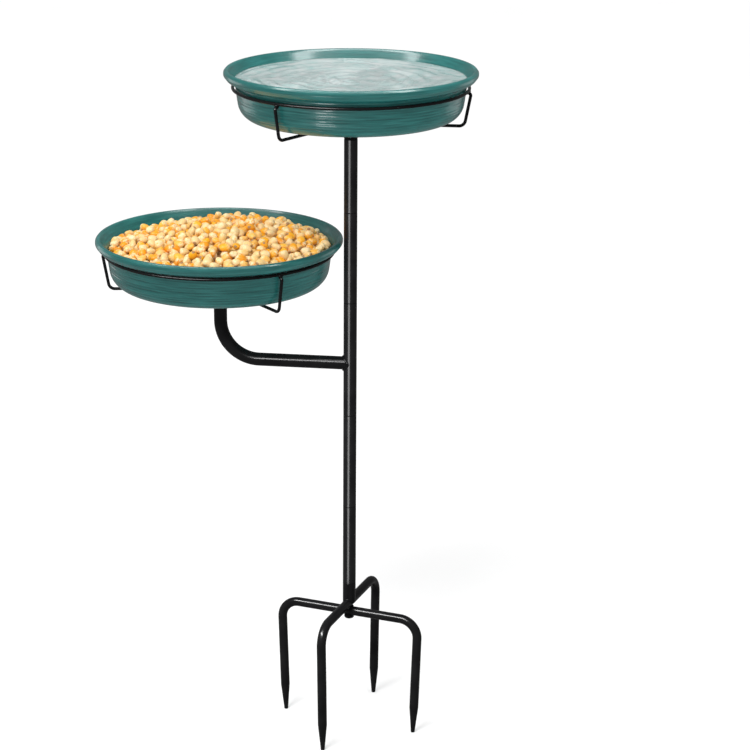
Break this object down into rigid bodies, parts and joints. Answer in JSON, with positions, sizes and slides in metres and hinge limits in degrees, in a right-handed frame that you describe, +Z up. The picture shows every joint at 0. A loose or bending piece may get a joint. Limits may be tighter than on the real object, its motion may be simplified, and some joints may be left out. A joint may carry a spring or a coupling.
{
  "type": "two-dish bird feeder on a pole",
  "caption": "Free-standing garden bird feeder: a high water dish and a lower seed dish in wire holders on a black sectional pole with a side arm and a pronged ground stake.",
  "frame": {"origin": "on the pole's axis, level with the tips of the stake's prongs", "axes": "+Z up the pole; the side arm and the seed dish are at -X; +Y is the back"},
  "size_m": [0.4805, 0.313, 0.8831],
  "materials": {
    "black_coated_steel": "black powder coat, satin",
    "plated_steel": "zinc-plated thread",
    "maize_feed": null,
    "water_fill": null,
    "dish_plastic": "moulded dark teal-green plastic, glossy, finely ribbed outside"
  },
  "bodies": {
    "stake_and_pole": {"upper_fork": "black_coated_steel", "stake_socket": "black_coated_steel", "fork_spacer": "black_coated_steel", "bolt_washer": "black_coated_steel", "clamp_bolt": "black_coated_steel", "stake_tube": "black_coated_steel", "stake_tube_stud": "plated_steel", "low_tube": "black_coated_steel", "low_tube_stud": "plated_steel", "arm_tube": "black_coated_steel", "arm_tube_stud": "plated_steel", "high_tube": "black_coated_steel", "high_tube_stud": "plated_steel", "top_tube": "black_coated_steel", "top_tube_stud": "plated_steel", "stake_tube_insert": "plated_steel", "low_tube_insert": "plated_steel", "arm_tube_insert": "plated_steel", "high_tube_insert": "plated_steel", "water_holder_stud": "plated_steel", "side_arm": "black_coated_steel", "arm_weld": "black_coated_steel", "feed_holder_stud": "plated_steel"},
    "folding_fork": {"lower_fork": "black_coated_steel"},
    "water_holder": {"water_holder_coupler": "black_coated_steel", "water_holder_ring": "black_coated_steel", "water_holder_wire_1": "black_coated_steel", "water_holder_wire_2": "black_coated_steel", "water_holder_wire_3": "black_coated_steel"},
    "feed_holder": {"feed_holder_coupler": "black_coated_steel", "feed_holder_ring": "black_coated_steel", "feed_holder_wire_1": "black_coated_steel", "feed_holder_wire_2": "black_coated_steel", "feed_holder_wire_3": "black_coated_steel"},
    "water_dish": {"water_dish": "dish_plastic"},
    "feed_dish": {"feed_dish": "dish_plastic"}
  },
  "joints": [
    {"name": "fork_fold", "type": "hinge", "parent": "stake_and_pole", "child": "folding_fork", "pos_m": [0, 0, 0.1612], "axis": [0, 0, 1], "range_deg": [-80, 80]},
    {"name": "water_holder_turn", "type": "hinge", "parent": "stake_and_pole", "child": "water_holder", "pos_m": [0, 0, 0.8025], "axis": [0, 0, 1], "range_deg": [0, 180]},
    {"name": "feed_holder_turn", "type": "hinge", "parent": "stake_and_pole", "child": "feed_holder", "pos_m": [-0.1675, 0, 0.5855], "axis": [0, 0, 1], "range_deg": [0, 180]},
    {"name": "water_dish_lift", "type": "slide", "parent": "water_holder", "child": "water_dish", "axis": [0, 0, 1], "range_m": [0, 0.1]},
    {"name": "feed_dish_lift", "type": "slide", "parent": "feed_holder", "child": "feed_dish", "axis": [0, 0, 1], "range_m": [0, 0.1]}
  ]
}
